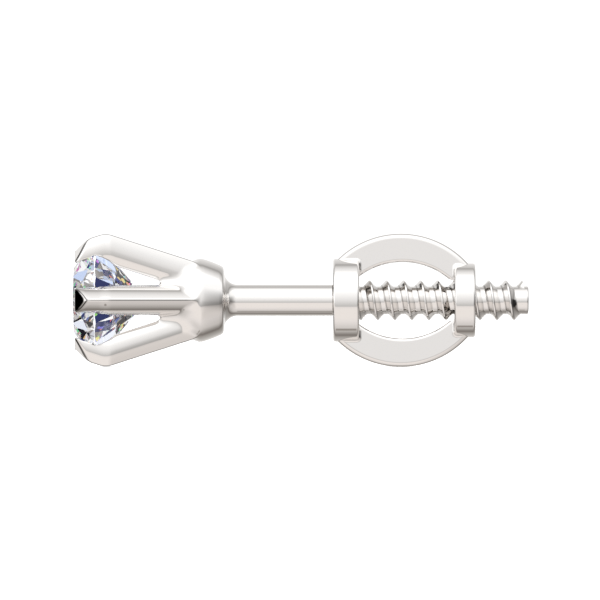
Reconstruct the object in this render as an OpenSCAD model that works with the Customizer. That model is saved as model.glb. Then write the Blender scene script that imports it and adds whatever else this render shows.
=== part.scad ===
// Screw-back stud earring: a round brilliant in six prongs, on a threaded post with a winged nut.
// It lies on its side. The earring's own axis runs along X, from the stone's table at the left to
// the post's end at the right, and the table is where every length along that axis starts.

/* [Stone] */
// Diameter of the stone at its girdle
stone_d = 3.8; // [3.4:0.05:3.9]
// Diameter of the table, corner to corner
table_d = 2.04; // [1.8:0.02:2.3]
// Height of the crown, from the girdle to the table
crown_h = 0.66; // [0.5:0.01:0.7]
// Thickness of the girdle
girdle_t = 0.06; // [0.03:0.005:0.08]
// Depth of the pavilion, from the girdle to the culet
pavilion_h = 1.655; // [1.5:0.005:1.75]
// Clearance between the stone and the metal
seat_gap = 0.02; // [0.01:0.005:0.04]

/* [Prongs] */
// Number of prongs
prong_count = 6; // [6:1:6]
// Distance of a prong's ridge from the axis where it is widest
prong_peak_r = 2.465; // [2.4:0.005:2.5]
// Place of the widest point, from the table
prong_peak = 1.04; // [0.95:0.01:1.1]
// Slope of a prong against the axis, on both sides of the widest point
prong_slope = 20.3; // [18:0.1:21]
// Depth of a prong, from its ridge inwards
prong_depth = 0.8; // [0.7:0.01:0.85]
// Half the angle of the ridge
ridge_angle = 44.5; // [42:0.5:47]
// Radius of the two curved flanks
flank_r = 2.05; // [1.9:0.05:2.4]
// Depth of a prong beside the stone's crown, from its ridge inwards
claw_depth = 0.51; // [0.48:0.01:0.6]
// Place behind the girdle where a prong has its full depth again, from the table
seat_end = 1.38; // [1.2:0.01:1.5]
// Place of the slanted tip's upper corner, from the table
tip_top = 0.44; // [0.4:0.01:0.5]
// Angle of the slanted tip against the axis
tip_angle = 57; // [50:1:62]
// Place of the flat end of the tip, from the table
tip_end = 0.05; // [0.03:0.01:0.07]

/* [Cup] */
// Place of the cup's open rim, from the table
cup_front = 2.77; // [2.7:0.01:2.85]
// Place of the cup's back, from the table
cup_back = 4.82; // [4.75:0.01:4.9]
// Radius of the cup's waist
waist_r = 1.22; // [1.15:0.01:1.25]
// Radius of the shoulder behind the prongs
shoulder_r = 1.365; // [1.36:0.005:1.38]
// Place of the shoulder, from the table
shoulder = 4.05; // [4:0.01:4.1]
// Radius of the cup's back edge
back_r = 1.09; // [1.05:0.01:1.15]
// Radius of the hollow under the stone
hollow_r = 0.97; // [0.9:0.01:1]
// Depth of that hollow
hollow_depth = 0.4; // [0.3:0.01:0.6]

/* [Post] */
// Diameter of the plain shank
post_d = 1; // [0.9:0.01:1.05]
// Whole length of the earring, table to post end
total_l = 14.55; // [14:0.05:15]
// Radius of the fillet between the cup and the shank
post_fillet = 0.36; // [0.2:0.01:0.4]
// Diameter of the plain end past the thread
end_d = 0.92; // [0.9:0.01:0.95]
// Length of the plain end
end_l = 0.25; // [0.2:0.01:0.4]
// Chamfer at the post's end
end_chamfer = 0.04; // [0.02:0.01:0.08]

/* [Thread] */
// Diameter over the thread's crests
thread_d = 1.25; // [1.15:0.01:1.25]
// Diameter in the thread's roots
root_d = 0.89; // [0.86:0.01:0.9]
// Distance from crest to crest
pitch = 0.545; // [0.5:0.005:0.6]
// Place where the thread leaves the shank, from the table
thread_start = 8.28; // [8.2:0.01:8.3]
// Part of the pitch that the ridge covers
ridge_share = 0.66; // [0.5:0.01:0.8]
// Turn of the thread on the post
thread_turn = 75; // [0:5:360]

/* [Nut] */
// Place of the nut's front collar, from the table
nut_front = 8.3; // [8.3:0.05:8.9]
// Diameter of the front collar
front_collar_d = 2.66; // [2.5:0.02:2.8]
// Thickness of the front collar
front_collar_t = 0.83; // [0.7:0.01:1]
// Diameter of the back collar
back_collar_d = 2.37; // [2.2:0.01:2.5]
// Thickness of the back collar
back_collar_t = 0.67; // [0.6:0.01:0.8]
// Length of the nut over both collars
nut_l = 4.55; // [4.4:0.05:4.7]
// Diameter of the bore through both collars
bore_d = 1.3; // [1.29:0.01:1.34]
// Thickness of the wings
wing_t = 0.7; // [0.5:0.05:0.9]
// Radius of a wing's outer arc
wing_outer_r = 2.895; // [2.85:0.005:2.95]
// Place of the outer arc's middle, from the front of the nut
wing_outer_mid = 2.164; // [2.14:0.002:2.18]
// Radius of a wing's inner arc
wing_inner_r = 2.3; // [2.25:0.01:2.4]
// Place of the inner arc's middle, from the front of the nut
wing_inner_mid = 2.218; // [2.2:0.002:2.24]
// Height of the inner arc over the axis
wing_gap = 1.22; // [1.15:0.01:1.3]
// Rounding of the collars' edges
collar_edge = 0.05; // [0.03:0.01:0.08]

/* [Hidden] */
$fn = 64;

// The earring lies on two prong ridges and on the lower wing's edge, so they are equally low.
prong_pitch = 360 / prong_count;
axis_h = prong_peak_r * cos(prong_pitch / 2);

// The stone's levels along the axis
stone_r = stone_d / 2;
table_r = table_d / 2;
girdle_front = crown_h;
girdle_back = crown_h + girdle_t;
culet = girdle_back + pavilion_h;
facet_pitch = 360 / 8;
crown_break = 0.46;     // share of the crown's height, from the table, where its facets meet
pavilion_break = 0.24;  // share of the pavilion's depth, from the culet, where its facets meet

// Levels of the metal along the axis
rim_wall_r = waist_r - 0.02;
post_r = post_d / 2;

// The thread is a stack of rings, and the shank and the plain end meet it half-way between two.
thread_sides = 12;
thread_step = pitch / thread_sides;
thread_front = thread_start - 1.5 * thread_step;
thread_rings = round((total_l - end_l - thread_front) / thread_step) + 2;
thread_back = thread_front + thread_rings * thread_step;
end_front = thread_back - 1.5 * thread_step;
thread_run_in = 0.45;

// Stands the earring's own frame, whose axis is Z, in the part's frame, whose axis is X.
module lay_down() {
    translate([-total_l / 2, 0, axis_h]) rotate([0, 90, 0]) children();
}

// Radius of the circle through the corners of an eight-fold belt of facets, at a share of the way
// from a small ring to a big one.
function belt_r(small, big, share) = (small + (big - small) * share) / cos(facet_pitch / 2);

function ring(r, z, count, turn) = [
    for (k = [0 : count - 1]) [r * cos(turn + 360 * k / count), r * sin(turn + 360 * k / count), z]
];

// A round brilliant: table, 8 stars, 8 kites, 16 upper and 16 lower halves, 8 pavilion mains.
module brilliant() {
    crown_r = belt_r(table_r, stone_r, crown_break);
    pavilion_r = belt_r(0, stone_r, pavilion_break);
    half = facet_pitch / 2;
    points = concat(
        ring(table_r, 0, 8, 0),
        ring(crown_r, crown_h * crown_break, 8, half),
        ring(stone_r, girdle_front, 16, 0),
        ring(stone_r, girdle_back, 16, 0),
        ring(pavilion_r, culet - pavilion_h * pavilion_break, 8, half),
        [[0, 0, culet]]
    );
    belt = 8;
    upper = 16;
    lower = 32;
    under = 48;
    tip = 56;
    faces = concat(
        [[for (k = [0 : 7]) k]],
        [for (k = [0 : 7]) [(k + 1) % 8, k, belt + k]],
        [for (k = [0 : 7]) [k, belt + (k + 7) % 8, upper + 2 * k]],
        [for (k = [0 : 7]) [k, upper + 2 * k, belt + k]],
        [for (k = [0 : 7]) [belt + k, upper + 2 * k, upper + 2 * k + 1]],
        [for (k = [0 : 7]) [belt + k, upper + 2 * k + 1, upper + (2 * k + 2) % 16]],
        [for (k = [0 : 15]) [upper + k, lower + k, lower + (k + 1) % 16, upper + (k + 1) % 16]],
        [for (k = [0 : 7]) [lower + 2 * k, under + k, lower + 2 * k + 1]],
        [for (k = [0 : 7]) [lower + 2 * k + 1, under + k, lower + (2 * k + 2) % 16]],
        [for (k = [0 : 7]) [lower + 2 * k, under + (k + 7) % 8, tip]],
        [for (k = [0 : 7]) [lower + 2 * k, tip, under + k]]
    );
    polyhedron(points, [for (f = faces) [for (n = [len(f) - 1 : -1 : 0]) f[n]]]);
}

// The round space that holds the stone with its clearance all round. Behind the girdle it widens, so
// that a prong comes down to its full depth past the seat.
module stone_space() {
    full_r = prong_peak_r - (seat_end - prong_peak) * tan(prong_slope) - prong_depth;
    claw_r = prong_peak_r - (prong_peak - girdle_back) * tan(prong_slope) - claw_depth;
    rotate_extrude() polygon([
        [0, -1],
        [table_r + seat_gap, -1],
        [table_r + seat_gap, 0],
        [belt_r(table_r, stone_r, crown_break) + seat_gap, crown_h * crown_break - seat_gap],
        [stone_r + seat_gap, girdle_front - seat_gap],
        [stone_r + seat_gap, girdle_back + seat_gap],
        [claw_r - 0.02, girdle_back + 0.1],
        [full_r, seat_end],
        [belt_r(0, stone_r, pavilion_break) + seat_gap, culet - pavilion_h * pavilion_break + seat_gap],
        [0, culet + 2 * seat_gap]
    ]);
}

// Section of a prong, with its ridge at the origin and its depth along -X: the inside of two big
// circles that cross at the ridge.
module prong_section(depth) {
    side = flank_r * cos(ridge_angle);
    inward = flank_r * sin(ridge_angle);
    intersection() {
        translate([-inward, -side]) circle(flank_r, $fn = 128);
        translate([-inward, side]) circle(flank_r, $fn = 128);
        translate([-depth, -1]) square([depth, 2]);
    }
}

// One leg of a prong, from its widest point: the back leg goes to the cup, the front one to the tip.
module prong_leg(slope, from, to, depth) {
    translate([prong_peak_r, 0, prong_peak]) rotate([0, slope, 0])
        translate([0, 0, from]) linear_extrude(to - from) prong_section(depth);
}

module prong() {
    leg_depth = prong_depth * cos(prong_slope);
    tip_r = prong_peak_r - (prong_peak - tip_top) * tan(prong_slope);
    intersection() {
        prong_leg(-prong_slope, -1, 3.3, leg_depth);
        translate([0, -2, prong_peak]) cube([4, 4, 4]);
    }
    intersection() {
        prong_leg(prong_slope, -1.3, 1, claw_depth * cos(prong_slope));
        translate([0, -2, tip_end]) cube([4, 4, prong_peak - tip_end]);
        translate([tip_r, -2, tip_top]) rotate([0, tip_angle - 90, 0]) translate([-4, 0, 0])
            cube([8, 4, 4]);
    }
}

// The cup's outline, from its open rim to the post, with the fillet as an arc
module cup_body() {
    fillet_mid = cup_back + post_fillet;
    arc_steps = 8;
    rotate_extrude() polygon(concat(
        [
            [0, cup_front + hollow_depth],
            [hollow_r - 0.22, cup_front + hollow_depth],
            [hollow_r, cup_front],
            [rim_wall_r - 0.1, cup_front],
            [rim_wall_r, cup_front + 0.08],
            [waist_r, shoulder - 0.5],
            [waist_r + 0.04, shoulder - 0.25],
            [shoulder_r - 0.02, shoulder - 0.08],
            [shoulder_r, shoulder],
            [shoulder_r - 0.05, shoulder + 0.16],
            [back_r, cup_back - 0.08],
            [back_r - 0.05, cup_back - 0.03],
            [post_r + post_fillet, cup_back]
        ],
        [for (k = [1 : arc_steps]) [
            post_r + post_fillet * (1 - sin(90 * k / arc_steps)),
            fillet_mid - post_fillet * cos(90 * k / arc_steps)
        ]],
        [[0, fillet_mid]]
    ));
}

// Height of the ridge over the roots, at a share of a pitch from a crest
function ridge(share) = max(0, 1 - 2 * min(share, 1 - share) / ridge_share);

// The threaded stretch: rings of points one twelfth of a pitch apart, each turned on by one point,
// so that the crest runs along the rings' diagonal. The ridge fades out at both ends.
module thread() {
    root_r = root_d / 2;
    crest_h = (thread_d - root_d) / 2;
    function fade(z) = max(0, min(1, (z - thread_start) / thread_run_in, (end_front - z) / thread_run_in));
    function turn_share(j, i) = ((j - i) % thread_sides + thread_sides) % thread_sides / thread_sides;
    points = concat(
        [for (j = [0 : thread_rings]) for (i = [0 : thread_sides - 1])
            let (z = thread_front + j * thread_step)
            let (r = root_r + crest_h * fade(z) * ridge(turn_share(j, i)))
            let (a = 360 * i / thread_sides)
            [r * cos(a), r * sin(a), z]],
        [[0, 0, thread_front], [0, 0, thread_back]]
    );
    last = thread_rings * thread_sides;
    near_mid = last + thread_sides;
    far_mid = near_mid + 1;
    faces = concat(
        [for (j = [0 : thread_rings - 1]) for (i = [0 : thread_sides - 1])
            let (n = (i + 1) % thread_sides)
            [j * thread_sides + i, (j + 1) * thread_sides + n, j * thread_sides + n]],
        [for (j = [0 : thread_rings - 1]) for (i = [0 : thread_sides - 1])
            let (n = (i + 1) % thread_sides)
            [j * thread_sides + i, (j + 1) * thread_sides + i, (j + 1) * thread_sides + n]],
        [for (i = [0 : thread_sides - 1]) [near_mid, i, (i + 1) % thread_sides]],
        [for (i = [0 : thread_sides - 1]) [far_mid, last + (i + 1) % thread_sides, last + i]]
    );
    rotate([0, 0, thread_turn]) polyhedron(points, faces);
}

// The plain shank, the thread and the plain end
module post() {
    translate([0, 0, cup_back]) cylinder(h = thread_start - cup_back, d = post_d);
    thread();
    rotate_extrude() polygon([
        [0, end_front],
        [end_d / 2, end_front],
        [end_d / 2, total_l - end_chamfer],
        [end_d / 2 - end_chamfer, total_l],
        [0, total_l]
    ]);
}

module setting_post() {
    color("silver") lay_down() {
        difference() {
            union() {
                cup_body();
                for (k = [0 : prong_count - 1]) rotate([0, 0, 90 + prong_pitch * k]) prong();
            }
            stone_space();
            translate([0, 0, culet]) cylinder(h = cup_front + hollow_depth - culet, r = hollow_r - 0.25);
        }
        post();
    }
}

module stone() {
    color("lightcyan") lay_down() brilliant();
}

// A round collar with its edges taken off
module collar(d, t) {
    rotate_extrude() polygon([
        [0, 0],
        [d / 2 - collar_edge, 0],
        [d / 2, collar_edge],
        [d / 2, t - collar_edge],
        [d / 2 - collar_edge, t],
        [0, t]
    ]);
}

// Outline of the two wings: the inside of two big circles, less the inside of two smaller ones.
// Heights run along X, and the nut's length along Y.
module wing_outline() {
    outer_drop = wing_outer_r - axis_h;
    inner_drop = wing_inner_r - wing_gap;
    for (side = [-1, 1]) difference() {
        intersection() {
            translate([-side * outer_drop, wing_outer_mid]) circle(wing_outer_r, $fn = 128);
            translate([side > 0 ? 0 : -3, 0.1]) square([3, nut_l - 0.2]);
        }
        translate([-side * inner_drop, wing_inner_mid]) circle(wing_inner_r, $fn = 128);
    }
}

module screw_nut() {
    color("gainsboro") lay_down() translate([0, 0, nut_front]) difference() {
        union() {
            collar(front_collar_d, front_collar_t);
            translate([0, 0, nut_l - back_collar_t]) collar(back_collar_d, back_collar_t);
            translate([0, wing_t / 2, 0]) rotate([90, 0, 0]) linear_extrude(wing_t) wing_outline();
        }
        translate([0, 0, -1]) cylinder(h = nut_l + 2, d = bore_d);
    }
}

setting_post();
stone();
screw_nut();
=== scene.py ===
"""Looks of the screw-back stud earring: setting with post, brilliant and winged nut, around the frame."""
from math import cos, pi, radians, sin, sqrt, tan

import bpy
import numpy as np
from bpy.props import FloatProperty, FloatVectorProperty, IntProperty, PointerProperty
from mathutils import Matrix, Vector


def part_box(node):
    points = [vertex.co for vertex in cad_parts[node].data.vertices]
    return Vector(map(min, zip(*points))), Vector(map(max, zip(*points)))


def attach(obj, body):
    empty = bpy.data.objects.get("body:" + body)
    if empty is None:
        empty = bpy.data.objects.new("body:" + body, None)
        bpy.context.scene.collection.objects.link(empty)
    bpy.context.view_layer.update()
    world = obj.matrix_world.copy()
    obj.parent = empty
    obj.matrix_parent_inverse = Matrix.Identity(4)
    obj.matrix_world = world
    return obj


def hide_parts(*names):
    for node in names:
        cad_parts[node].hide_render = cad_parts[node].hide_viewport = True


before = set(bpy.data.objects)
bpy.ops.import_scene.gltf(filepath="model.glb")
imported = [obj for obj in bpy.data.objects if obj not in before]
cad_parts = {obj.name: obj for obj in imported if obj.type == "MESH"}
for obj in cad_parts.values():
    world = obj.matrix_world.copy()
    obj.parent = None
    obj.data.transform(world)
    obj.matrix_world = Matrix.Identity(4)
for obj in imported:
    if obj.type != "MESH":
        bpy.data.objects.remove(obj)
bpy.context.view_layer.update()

bl_info = {
    "name": "Screw-back Stud Earring",
    "version": (1, 0, 0),
    "blender": (4, 5, 0),
    "location": "3D View > Sidebar > Earring",
    "description": "Six-prong solitaire stud with a threaded post and a winged screw nut",
    "category": "Add Mesh",
}

MM = 0.001

# The earring's own axis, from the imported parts: where the table stands and how high the axis lies
STONE_LOW, STONE_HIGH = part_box("stone")
POST_LOW, POST_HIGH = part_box("setting_post")
NUT_LOW, NUT_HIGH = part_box("screw_nut")
TABLE_X = STONE_LOW.x
AXIS_Z = (STONE_LOW.z + STONE_HIGH.z) / 2
AXIS_Y = (STONE_LOW.y + STONE_HIGH.y) / 2


def length(label, text, value):
    """A length of the earring, given in metres."""
    return FloatProperty(name=label, description=text, default=value, min=0, precision=5, unit="LENGTH")


def angle(label, text, degrees):
    """An angle of the earring, given in degrees."""
    return FloatProperty(name=label, description=text, default=radians(degrees), subtype="ANGLE")


def share(label, text, value, top=1.0):
    """A number without a unit."""
    return FloatProperty(name=label, description=text, default=value, min=0, max=top)


def colour(label, text, value):
    """A linear colour."""
    return FloatVectorProperty(name=label, description=text, default=value, min=0, max=1, subtype="COLOR")


class StoneSizes(bpy.types.PropertyGroup):
    diameter: length("Diameter", "Across the girdle", STONE_HIGH.y - STONE_LOW.y)
    depth: length("Depth", "Table to culet", STONE_HIGH.x - STONE_LOW.x)
    table: length("Table", "Across the table's corners", 2.04 * MM)
    crown: length("Crown", "Height of the crown", 0.65 * MM)
    girdle: length("Girdle", "Thickness of the girdle at its widest", 0.08 * MM)
    crown_break: share("Star length", "Share of the crown, from the table, where its facets meet", 0.46)
    lower_break: share("Lower break", "Share of the pavilion, from the culet, where its facets meet", 0.24)


class ProngSizes(bpy.types.PropertyGroup):
    count: IntProperty(name="Prongs", description="Number of prongs", default=6, min=6, max=6)
    peak_r: length("Peak radius", "Ridge to axis at the widest place", 2.465 * MM)
    peak: length("Peak", "Place of the widest point, from the table", 1.04 * MM)
    peak_round: length("Peak rounding", "Radius that the ridge turns with at its peak", 0.6 * MM)
    slope: angle("Slope", "Slope of a prong against the axis", 20.3)
    ridge_round: length("Ridge rounding", "Half the width of the rounded ridge", 0.06 * MM)
    ridge_lift: length("Ridge lift", "Height that the ridge would gain if it were sharp", 0.024 * MM)
    depth: length("Depth", "Depth of a prong behind the stone", 0.85 * MM)
    claw_depth: length("Claw depth", "Depth of a prong beside the crown", 0.51 * MM)
    seat_end: length("Seat end", "Where a prong has its full depth again", 1.38 * MM)
    tip_top: length("Tip top", "Place of the slanted tip's upper corner", 0.44 * MM)
    tip_angle: angle("Tip angle", "Angle of the slanted tip", 58.4)
    tip_end: length("Tip end", "Place of the tip's flat end, from the table", 0.05 * MM)
    tip_blend: length("Tip blend", "How far the slanted tip runs softly into the flanks", 0.2 * MM)
    nose_l: length("Nose length", "Length of the rounding at the tip's flat end", 0.025 * MM)
    nose_drop: length("Nose drop", "Height of the rounding at the tip's flat end", 0.02 * MM)
    clearance: length("Clearance", "Gap between the stone and the metal", 0.02 * MM)
    # Painted shade: grey lines painted along each ridge and round the slanted tip's crease, in place of dark
    # reflections
    ridge_shade_line: length("Ridge line", "Half the width of the grey line along a ridge", 0.025 * MM)
    ridge_shade_grey: share("Ridge grey", "How grey the line along a ridge is", 0.42)
    tip_shade_line: length("Tip line", "Half the width of the grey line round the slanted tip", 0.035 * MM)
    tip_shade_grey: share("Tip grey", "How grey the line round the slanted tip is", 0.85)


class CupSizes(bpy.types.PropertyGroup):
    rim: length("Rim", "Where the windows between the prongs close", 2.77 * MM)
    window_round: length("Window rounding", "Length of a window's round end", 0.17 * MM)
    waist_r: length("Waist radius", "Radius in the valleys", 1.132 * MM)
    dip: length("Dip", "How far the cup's outline sinks in one dip length", 0.25 * MM)
    dip_l: length("Dip length", "Length in which the outline sinks by the dip", 0.3 * MM)
    dip_end: length("Dip end", "How far behind the rim the dip ends", 0.12 * MM)
    merge: length("Merge", "Where the ridges begin to grow rounder in the cup", 3.7 * MM)
    merge_l: length("Merge length", "How far the ridges take to grow rounder", 0.55 * MM)
    merge_round: length("Merge rounding", "Rounding that the ridges gain", 0.4 * MM)
    sink_at: length("Sink place", "Where the ridges begin to sink into the cup", 3.95 * MM)
    sink: length("Sink", "How deep the ridges sink", 0.1 * MM)
    valley_at: length("Valley place", "Where the valleys begin to grow softer", 3.3 * MM)
    valley_turn: angle("Valley angle", "Angle from a ridge at which the valleys are softest", 16)
    valley_round: length("Valley rounding", "Rounding that the valleys gain", 0.16 * MM)
    change_l: length("Change", "How far the sinking and the softening each take to set in", 0.35 * MM)
    corner: length("Corner", "Rounding between the prongs and the cup", 0.12 * MM)
    edge_r: length("Back edge radius", "Radius at the middle of the back edge's rounding", 0.985 * MM)
    edge_round: length("Edge rounding", "Rounding of the back edge", 0.12 * MM)
    edge_turn: angle("Edge angle", "Angle that the back edge's rounding turns through", 66)
    edge_step: length("Edge step", "How far the back face swells from its edge to the shank", 0.015 * MM)
    back: length("Back", "Place of the back face", 4.82 * MM)
    hollow_curve: length("Hollow curve", "How far the hollow's side curves in at its floor", 0.485 * MM)
    hollow_depth: length("Hollow depth", "Depth of the hollow", 0.4 * MM)


class PostSizes(bpy.types.PropertyGroup):
    radius: length("Radius", "Radius of the plain shank", 0.5 * MM)
    fillet: length("Fillet", "Fillet between the cup and the shank", 0.42 * MM)
    thread_start: length("Thread start", "Where the thread leaves the shank", 8.28 * MM)
    crest_r: length("Crest radius", "Radius over the crests", 0.638 * MM)
    root_r: length("Root radius", "Radius in the roots", 0.445 * MM)
    pitch: length("Pitch", "Distance from crest to crest", 0.545 * MM)
    crest_top: length("Crest on top", "Place of a crest at the top of the post", 9.46 * MM)
    ridge_share: share("Ridge share", "Part of the pitch that the ridge covers", 0.78)
    crest_land: share("Crest land", "Part of the ridge that is level on the crest", 0.1)
    end_r: length("End radius", "Radius of the plain end", 0.45 * MM)
    thread_stop: length("Thread stop", "How far before the post's end the thread ends", 0.11 * MM)
    ridge_stop: length("Ridge stop", "How far before the post's end the ridge ends", 0.14 * MM)
    run_in: length("Run-in", "How far the ridge takes to rise to its full height", 0.3 * MM)
    run_out: length("Run-out", "How far the ridge takes to fall at its end", 0.05 * MM)
    last_fall: length("Last fall", "How far before the thread's last row its ridge falls", 0.09 * MM)
    chamfer: length("Chamfer", "Chamfer at the post's end", 0.04 * MM)


class NutSizes(bpy.types.PropertyGroup):
    front_r: length("Front collar radius", "Radius of the thicker collar", 1.33 * MM)
    front_t: length("Front collar", "Thickness of the thicker collar", 0.83 * MM)
    back_r: length("Back collar radius", "Radius of the thinner collar", 1.185 * MM)
    back_t: length("Back collar", "Thickness of the thinner collar", 0.67 * MM)
    bore_r: length("Bore radius", "Radius of the bore", 0.65 * MM)
    edge: length("Collar edge", "Rounding of the collars' edges", 0.08 * MM)
    wing_t: length("Wing thickness", "Thickness of the wings", 0.7 * MM)
    outer_r: length("Outer arc", "Radius of a wing's outer arc", 2.895 * MM)
    outer_mid: length("Outer middle", "Middle of the outer arc, from the nut's front", 2.164 * MM)
    inner_r: length("Inner arc", "Radius of a wing's inner arc", 2.3 * MM)
    inner_mid: length("Inner middle", "Middle of the inner arc, from the nut's front", 2.218 * MM)
    gap: length("Gap", "Height of the inner arc over the axis", 1.22 * MM)
    outer_edge: length("Outer edge", "Rounding of a wing's outer edges", 0.15 * MM)
    inner_edge: length("Inner edge", "Rounding of a wing's inner edges", 0.1 * MM)
    fillet: length("Fillet", "Fillet between the wings and the collars", 0.1 * MM)
    front_reach: length("Front reach", "How far a fillet runs over the thicker collar's top", 0.6 * MM)
    back_reach: length("Back reach", "How far a fillet runs over the thinner collar's top", 0.36 * MM)
    wing_turn: angle("Wing angle", "How far a wing's sections lean to each side of upright", 47)


class FinishSettings(bpy.types.PropertyGroup):
    gold: colour("White gold", "Colour of the polished setting", (0.86, 0.845, 0.83))
    nut_gold: colour("Nut's white gold", "Colour of the polished nut", (0.86, 0.845, 0.83))
    roughness: share("Roughness", "Roughness of the polish", 0.05)
    ior: FloatProperty(name="Refractive index", description="For green light", default=2.42, min=1, max=3)


class StageSettings(bpy.types.PropertyGroup):
    distance: length("Distance", "Camera to the earring's axis", 0.4)
    frame_width: length("Frame width", "Width of the picture at the earring", 19.2 * MM)
    picture: IntProperty(name="Picture", description="Width of the picture in pixels", default=600)
    middle_x: FloatProperty(name="Middle", description="Pixel column of the earring's middle", default=301.85)
    axis_y: FloatProperty(name="Axis row", description="Pixel row of the earring's axis", default=300.25)
    floor_size: length("Floor size", "Side of the floor", 4.0)
    light: share("Light", "Strength of the studio's brightest walls", 1.6, 10.0)
    overhead: share("Overhead", "Strength of the light over the floor", 2.0, 10.0)
    floor: colour("Floor", "Colour of the floor", (0.93, 0.93, 0.93))


# Surfaces worked out with numpy

class Shell:
    """Points and faces of one mesh, gathered grid by grid. Every point is (along, side, up) in metres,
    measured from the table along the earring's axis, so the shell is put in place once, at the end."""

    def __init__(self):
        self.points, self.tones, self.faces, self.count = [], [], [], 0

    def add(self, along, side, up, tone=0.0):
        """Adds a grid of points, with painted shade from 0 to 1 that darkens the finish, and returns the grid
        of their numbers."""
        along, side, up, tone = np.broadcast_arrays(along, side, up, tone)
        self.tones.append(tone.reshape(-1))
        numbers = self.count + np.arange(along.size).reshape(along.shape)
        self.points.append(np.stack([along, side, up], -1).reshape(-1, 3))
        self.count += along.size
        return numbers

    def around(self, along, radius, turn, tone=0.0):
        """Adds points given by their place, their distance from the axis and their angle, where a turn
        of nought faces the camera and a quarter turn points up."""
        return self.add(along, -radius * np.cos(turn), radius * np.sin(turn), tone)

    def quads(self, grid, flip=False):
        """Joins a grid of numbers into squares. Rows run along the axis and columns turn upwards."""
        a, b, c, d = grid[:-1, :-1], grid[1:, :-1], grid[1:, 1:], grid[:-1, 1:]
        order = (a, d, c, b) if flip else (a, b, c, d)
        self.faces.append(np.stack(order, -1).reshape(-1, 4))

    def tube(self, grid, flip=False):
        """Joins a grid whose columns go once round into a closed tube."""
        self.quads(np.concatenate([grid, grid[:, :1]], 1), flip)

    def slants(self, grid):
        """Joins a grid into triangles, whose long sides fall from each row to the column before."""
        a, b, c, d = grid[:-1, :-1], grid[1:, :-1], grid[1:, 1:], grid[:-1, 1:]
        self.faces.append(np.stack([a, b, d], -1).reshape(-1, 3))
        self.faces.append(np.stack([b, c, d], -1).reshape(-1, 3))

    def fan(self, middle, ring, flip=False):
        """Joins a closed ring of numbers to one point."""
        after = np.roll(ring, -1)
        order = (middle + 0 * ring, after, ring) if flip else (middle + 0 * ring, ring, after)
        self.faces.append(np.stack(order, -1))

    def zip(self, ring, fine, fine_turn):
        """Joins a closed ring, evenly spaced from a turn of nought, to a finer one before it along the
        axis: each point of the fine ring goes to the nearest of the coarse one, and each coarse side
        fills the step between."""
        count = len(ring)
        near = np.round(fine_turn / (2 * pi / count)).astype(int) % count
        after, fine_after = np.roll(near, -1), np.roll(fine, -1)
        self.faces.append(np.stack([fine, ring[near], fine_after], -1))
        jump = (after - near) % count
        for k in range(jump.max()):
            step = near[jump > k] + k
            corners = [fine_after[jump > k], ring[step % count], ring[(step + 1) % count]]
            self.faces.append(np.stack(corners, -1))

    def build(self, name, material, sharp=radians(40)):
        """Makes the object, in place, with smooth faces and sharp edges past an angle."""
        points = np.concatenate(self.points) + (TABLE_X, AXIS_Y, AXIS_Z)
        sizes = np.concatenate([np.full(len(f), f.shape[1]) for f in self.faces])
        loops = np.concatenate([f.reshape(-1) for f in self.faces])
        starts = np.concatenate([[0], np.cumsum(sizes)[:-1]])
        mesh = bpy.data.meshes.new(name)
        mesh.vertices.add(len(points))
        mesh.vertices.foreach_set("co", points.astype(np.float32).reshape(-1))
        mesh.loops.add(len(loops))
        mesh.loops.foreach_set("vertex_index", loops.astype(np.int32))
        mesh.polygons.add(len(sizes))
        mesh.polygons.foreach_set("loop_start", starts.astype(np.int32))
        mesh.update(calc_edges=True)
        if mesh.validate():
            raise RuntimeError(f"{name} has faces that don't fit together")
        mesh.polygons.foreach_set("use_smooth", np.ones(len(sizes), bool))
        if sharp is not None:
            mesh.set_sharp_from_angle(angle=sharp)
        # Painted shade: a point attribute that darkens the metal's colour in grey lines
        tone = mesh.attributes.new("tone", "FLOAT", "POINT")
        tone.data.foreach_set("value", np.concatenate(self.tones).astype(np.float32))
        piece = bpy.data.objects.new(name, mesh)
        bpy.context.scene.collection.objects.link(piece)
        mesh.materials.append(material)
        return piece


def smooth_min(a, b, blend):
    """The smaller of two values, with the corner between them rounded by a parabola."""
    h = np.clip(0.5 + 0.5 * (b - a) / blend, 0, 1)
    return b + (a - b) * h - blend * h * (1 - h)


def smooth_max(a, b, blend):
    """The larger of two values, with the corner between them rounded by a parabola."""
    return -smooth_min(-a, -b, blend)


def ease(x):
    """Goes from 0 to 1 with level ends: three times the square less twice the cube."""
    x = np.clip(x, 0, 1)
    return x * x * (3 - 2 * x)


def soften(off, reach):
    """A distance from a crease, with the crease rounded by a parabola out to a reach."""
    return np.where(off < reach, off * off / (2 * reach) + reach / 2, off)


def soft_line(off, half, reach):
    """A soft line of painted shade, by the distance from its middle: 1 inside, and 0 past reach half
    widths, with soft sides one half width across."""
    return ease(reach - np.abs(off) / half)


def spaced(first, *stretches):
    """Values that run on from a first one through stretches, each given as (to, steps)."""
    values = [first]
    for to, steps in stretches:
        values.extend(values[-1] + (to - values[-1]) * np.arange(1, steps + 1) / steps)
    return np.array(values)


# The setting

def climb(slopes, steps):
    """A line whose slope is given at places in millimetres and changes evenly between them, as places,
    slopes and heights: the height is the running sum of the slopes."""
    at, given = np.array(slopes, float).T
    place = np.linspace(at[0], at[-1], steps + 1) * MM
    slope = np.interp(place, at * MM, given)
    height = np.concatenate([[0], np.cumsum((slope[1:] + slope[:-1]) / 2) * (place[1] - place[0])])
    return place, slope, height


# Slope of a prong's flank at half its width in millimetres: how deep it falls for each step sideways
FLANK = ((0, 0.86), (0.12, 0.93), (0.24, 1.2), (0.328, 1.654), (0.42, 2.5), (0.442, 4.5), (0.48, 7),
         (1.5, 7))
FLANK_HALF, FLANK_SLOPE, FLANK_DEPTH = climb(FLANK, 1500)

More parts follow.
